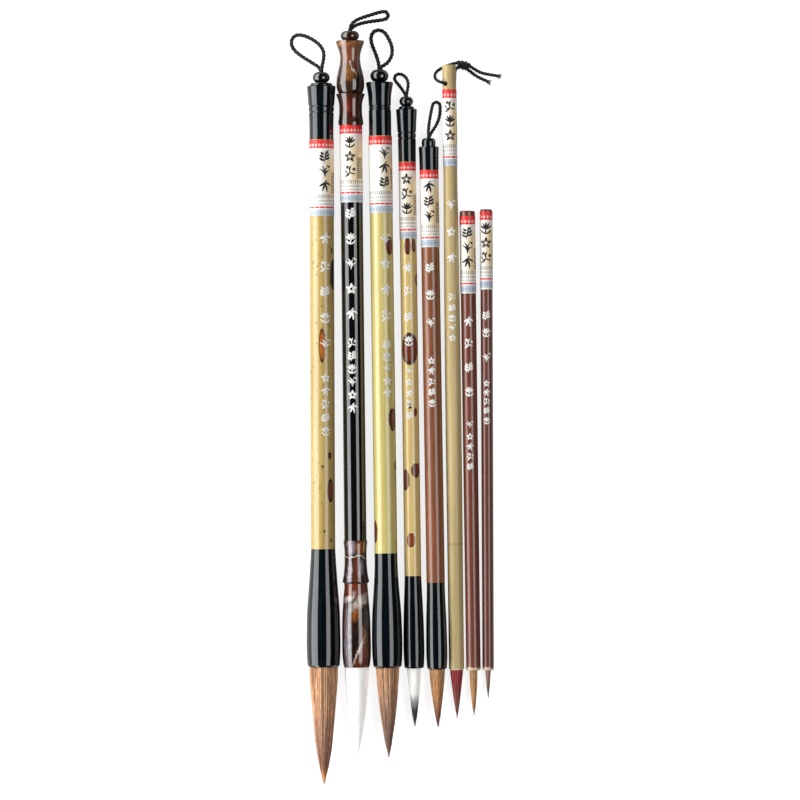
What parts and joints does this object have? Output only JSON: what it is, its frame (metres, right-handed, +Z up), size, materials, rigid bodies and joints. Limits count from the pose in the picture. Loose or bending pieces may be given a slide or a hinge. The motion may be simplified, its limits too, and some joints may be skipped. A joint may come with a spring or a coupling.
{
  "type": "calligraphy brush set",
  "caption": "Set of East Asian calligraphy and painting brushes of graded sizes laid side by side, with horn or bamboo ends, paper labels and hanging cords.",
  "frame": {"origin": "on the table, in the middle of the set's bounding box without the cords and beads", "axes": "+X to the right across the set, +Y along the brushes towards their end caps, +Z up from the table"},
  "size_m": [0.0878, 0.3255, 0.0143],
  "materials": {
    "golden_hair": "fine natural hair",
    "white_hair": "fine natural hair",
    "grey_tipped_hair": "fine natural hair, darker towards the tip",
    "orange_hair": "fine natural hair",
    "red_brown_hair": "fine natural hair",
    "dark_hair": "fine natural hair",
    "binding_thread": "wound thread",
    "black_horn": "polished black buffalo horn",
    "marbled_horn": "polished marbled buffalo horn",
    "speckled_bamboo": "varnished speckled bamboo",
    "yellow_bamboo": "varnished bamboo with brown blotches",
    "blotched_bamboo": "varnished bamboo with large brown blotches",
    "pale_bamboo": "plain matte bamboo",
    "black_lacquer": "black lacquered wood",
    "brown_lacquer": "dark brown lacquered wood",
    "red_brown_lacquer": "reddish brown lacquered bamboo",
    "paper": null,
    "bead_black": "polished bead",
    "bead_brown": "polished bead",
    "cord": "twisted thread"
  },
  "bodies": {
    "brush1": {"brush1_hair": "golden_hair", "brush1_hair_binding": "binding_thread", "brush1_ferrule": "black_horn", "brush1_handle": "speckled_bamboo", "brush1_label": "paper", "brush1_end_cap": "black_horn", "brush1_cord": "cord"},
    "brush2": {"brush2_hair": "white_hair", "brush2_hair_binding": "binding_thread", "brush2_ferrule": "marbled_horn", "brush2_ferrule_collar": "marbled_horn", "brush2_handle": "black_lacquer", "brush2_label": "paper", "brush2_lower_cap": "marbled_horn", "brush2_upper_cap": "marbled_horn", "brush2_cord": "cord"},
    "brush3": {"brush3_hair": "golden_hair", "brush3_hair_binding": "binding_thread", "brush3_ferrule": "black_horn", "brush3_handle": "yellow_bamboo", "brush3_label": "paper", "brush3_end_cap": "black_horn", "brush3_cord": "cord"},
    "brush4": {"brush4_hair": "grey_tipped_hair", "brush4_hair_binding": "binding_thread", "brush4_ferrule": "black_horn", "brush4_handle": "blotched_bamboo", "brush4_label": "paper", "brush4_end_cap": "black_horn", "brush4_cord": "cord"},
    "brush5": {"brush5_hair": "orange_hair", "brush5_hair_binding": "binding_thread", "brush5_ferrule": "black_horn", "brush5_handle": "brown_lacquer", "brush5_label": "paper", "brush5_end_cap": "black_horn", "brush5_cord": "cord"},
    "brush6": {"brush6_hair": "red_brown_hair", "brush6_hair_binding": "binding_thread", "brush6_handle": "pale_bamboo", "brush6_label": "paper", "brush6_cord_long_tail": "cord", "brush6_cord_loop": "cord", "brush6_cord_short_tail": "cord", "brush6_cord_knot": "cord"},
    "brush7": {"brush7_hair": "golden_hair", "brush7_hair_binding": "binding_thread", "brush7_handle": "red_brown_lacquer", "brush7_label": "paper"},
    "brush8": {"brush8_hair": "dark_hair", "brush8_hair_binding": "binding_thread", "brush8_handle": "red_brown_lacquer", "brush8_label": "paper"},
    "bead1": {"brush1_bead": "bead_black"},
    "bead2": {"brush2_bead": "bead_brown"},
    "bead3": {"brush3_bead": "bead_black"},
    "bead4": {"brush4_bead": "bead_black"}
  },
  "joints": [
    {"name": "brush2_lift", "type": "slide", "parent": "brush1", "child": "brush2", "axis": [0, 0, 1], "range_m": [0, 0.08]},
    {"name": "brush3_lift", "type": "slide", "parent": "brush1", "child": "brush3", "axis": [0, 0, 1], "range_m": [0, 0.08]},
    {"name": "brush4_lift", "type": "slide", "parent": "brush1", "child": "brush4", "axis": [0, 0, 1], "range_m": [0, 0.08]},
    {"name": "brush5_lift", "type": "slide", "parent": "brush1", "child": "brush5", "axis": [0, 0, 1], "range_m": [0, 0.08]},
    {"name": "brush6_lift", "type": "slide", "parent": "brush1", "child": "brush6", "axis": [0, 0, 1], "range_m": [0, 0.08]},
    {"name": "brush7_lift", "type": "slide", "parent": "brush1", "child": "brush7", "axis": [0, 0, 1], "range_m": [0, 0.08]},
    {"name": "brush8_lift", "type": "slide", "parent": "brush1", "child": "brush8", "axis": [0, 0, 1], "range_m": [0, 0.08]},
    {"name": "bead1_spin", "type": "hinge", "parent": "brush1", "child": "bead1", "pos_m": [-0.03325, 0.14054, 0.006], "axis": [-0.0042, 1, -0.0048], "continuous": true},
    {"name": "bead2_spin", "type": "hinge", "parent": "brush2", "child": "bead2", "pos_m": [-0.02122, 0.15808, 0.00602], "axis": [-0.011, 0.9999, -0.0001], "continuous": true},
    {"name": "bead3_spin", "type": "hinge", "parent": "brush3", "child": "bead3", "pos_m": [-0.00882, 0.14128, 0.0057], "axis": [-0.0138, 0.9999, -0.003], "continuous": true},
    {"name": "bead4_spin", "type": "hinge", "parent": "brush4", "child": "bead4", "pos_m": [0.00248, 0.13065, 0.00443], "axis": [-0.014, 0.9999, 0], "continuous": true}
  ]
}
